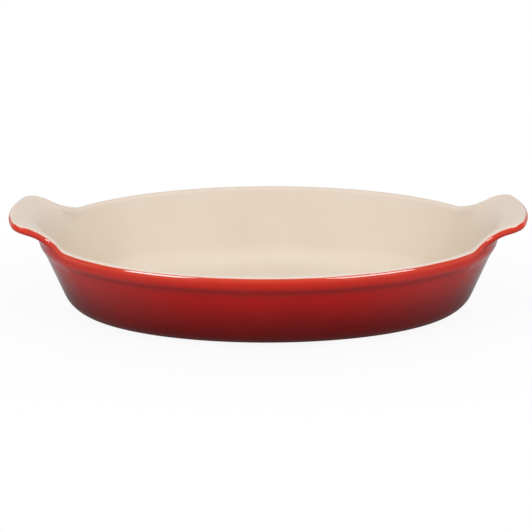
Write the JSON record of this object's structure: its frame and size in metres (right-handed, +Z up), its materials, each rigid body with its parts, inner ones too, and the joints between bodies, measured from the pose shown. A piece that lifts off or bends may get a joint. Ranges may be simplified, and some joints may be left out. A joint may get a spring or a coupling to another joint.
{
  "type": "gratin dish",
  "caption": "Oval glazed stoneware baking dish with sloping walls, a rolled rim, a pressed handle at each end and a bare foot ring, used to bake and serve gratins.",
  "frame": {"origin": "centre of the foot ring's underside, under the middle of the dish", "axes": "+X along the dish from handle to handle, +Y across it, +Z up"},
  "size_m": [0.3198, 0.1724, 0.0662],
  "materials": {
    "red_glaze": "glossy dark red glaze, lighter orange-red where it thins over the rim",
    "cream_glaze": "glossy cream glaze, paler on the lip",
    "bare_stoneware": "matt unglazed buff stoneware"
  },
  "bodies": {
    "root": {"stoneware_body": "red_glaze", "inner_glaze": "cream_glaze", "foot_ring": "bare_stoneware"}
  },
  "joints": []
}
